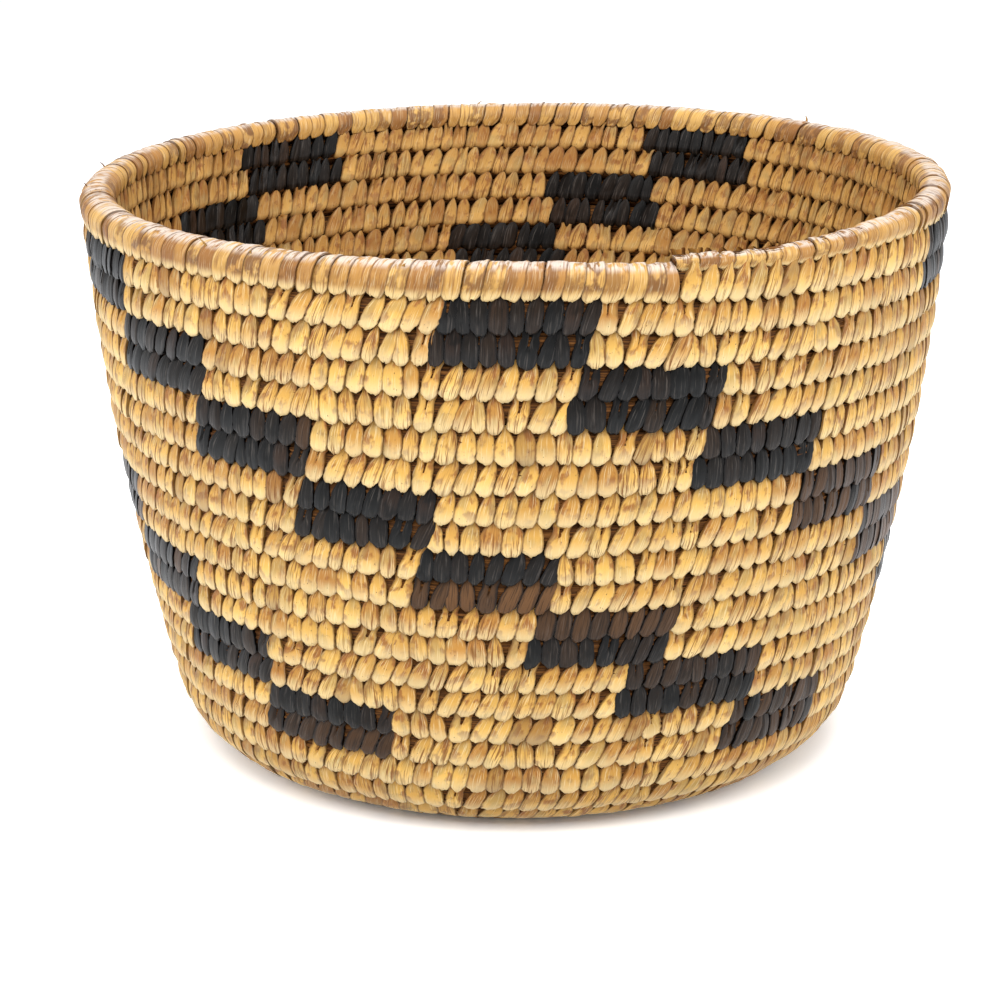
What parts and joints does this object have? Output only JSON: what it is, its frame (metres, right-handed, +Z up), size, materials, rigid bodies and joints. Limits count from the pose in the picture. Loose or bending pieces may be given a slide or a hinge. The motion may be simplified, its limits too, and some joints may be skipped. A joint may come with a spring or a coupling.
{
  "type": "coiled basket",
  "caption": "Round, deep coiled basket with a flat base, a slightly flared wall, an open top and stepped black blocks.",
  "frame": {"origin": "on the floor, under the middle of the base", "axes": "+Z up along the bowl's axis; -Y is the side that the picture shows; +X to that side's right"},
  "size_m": [0.2534, 0.2534, 0.1763],
  "materials": {
    "straw_coil": "matte",
    "base_straw": "matte",
    "knot_straw": "matte",
    "black_splint": "satin"
  },
  "bodies": {
    "root": {"wall_coil": "straw_coil", "base_coil": "base_straw", "start_knot": "knot_straw", "black_run_line1_step1": "black_splint", "black_run_line1_step2": "black_splint", "black_run_line1_step3": "black_splint", "black_run_line1_step4": "black_splint", "black_run_line1_step5": "black_splint", "black_run_line1_step6": "black_splint", "black_run_line1_step7": "black_splint", "black_run_line1_step8": "black_splint", "black_run_line2_step1": "black_splint", "black_run_line2_step2": "black_splint", "black_run_line2_step3": "black_splint", "black_run_line2_step4": "black_splint", "black_run_line2_step5": "black_splint", "black_run_line2_step6": "black_splint", "black_run_line2_step7": "black_splint", "black_run_line2_step8": "black_splint", "black_run_line3_step1": "black_splint", "black_run_line3_step2": "black_splint", "black_run_line3_step3": "black_splint", "black_run_line3_step4": "black_splint", "black_run_line3_step5": "black_splint", "black_run_line3_step6": "black_splint", "black_run_line3_step7": "black_splint", "black_run_line3_step8": "black_splint", "black_run_line4_step1": "black_splint", "black_run_line4_step2": "black_splint", "black_run_line4_step3": "black_splint", "black_run_line4_step4": "black_splint", "black_run_line4_step5": "black_splint", "black_run_line4_step6": "black_splint", "black_run_line4_step7": "black_splint", "black_run_line4_step8": "black_splint", "black_run_line5_step1": "black_splint", "black_run_line5_step2": "black_splint", "black_run_line5_step3": "black_splint", "black_run_line5_step4": "black_splint", "black_run_line5_step5": "black_splint", "black_run_line5_step6": "black_splint", "black_run_line5_step7": "black_splint", "black_run_line5_step8": "black_splint"}
  },
  "joints": []
}
